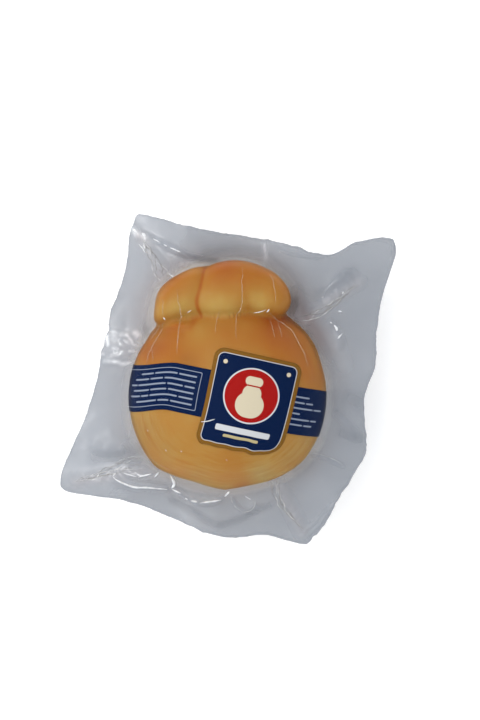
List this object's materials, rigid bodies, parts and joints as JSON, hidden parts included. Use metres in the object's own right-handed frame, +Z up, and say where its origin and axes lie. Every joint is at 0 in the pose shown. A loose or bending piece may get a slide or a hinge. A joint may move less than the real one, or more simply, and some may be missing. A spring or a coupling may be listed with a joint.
{
  "type": "vacuum-packed smoked scamorza",
  "caption": "Pear-shaped smoked cheese with a knotted head, in a clear shrink bag whose sealed skirt runs round the waist; lies label side up.",
  "frame": {"origin": "middle of the small flat spot that the pack rests on, straight below the middle of the cheese's body", "axes": "+Z up, out of the labelled side; +Y towards the knotted head; +X to the right as seen from above"},
  "size_m": [0.1471, 0.1453, 0.0736],
  "materials": {
    "film": "clear glossy shrink film, cool grey where its two sheets lie together",
    "cheese": "smooth smoked rind, amber to straw, slightly moist",
    "label": "printed label paper, navy with gold, red and white shapes"
  },
  "bodies": {
    "root": {"sealed_bag": "film"}
  },
  "joints": []
}
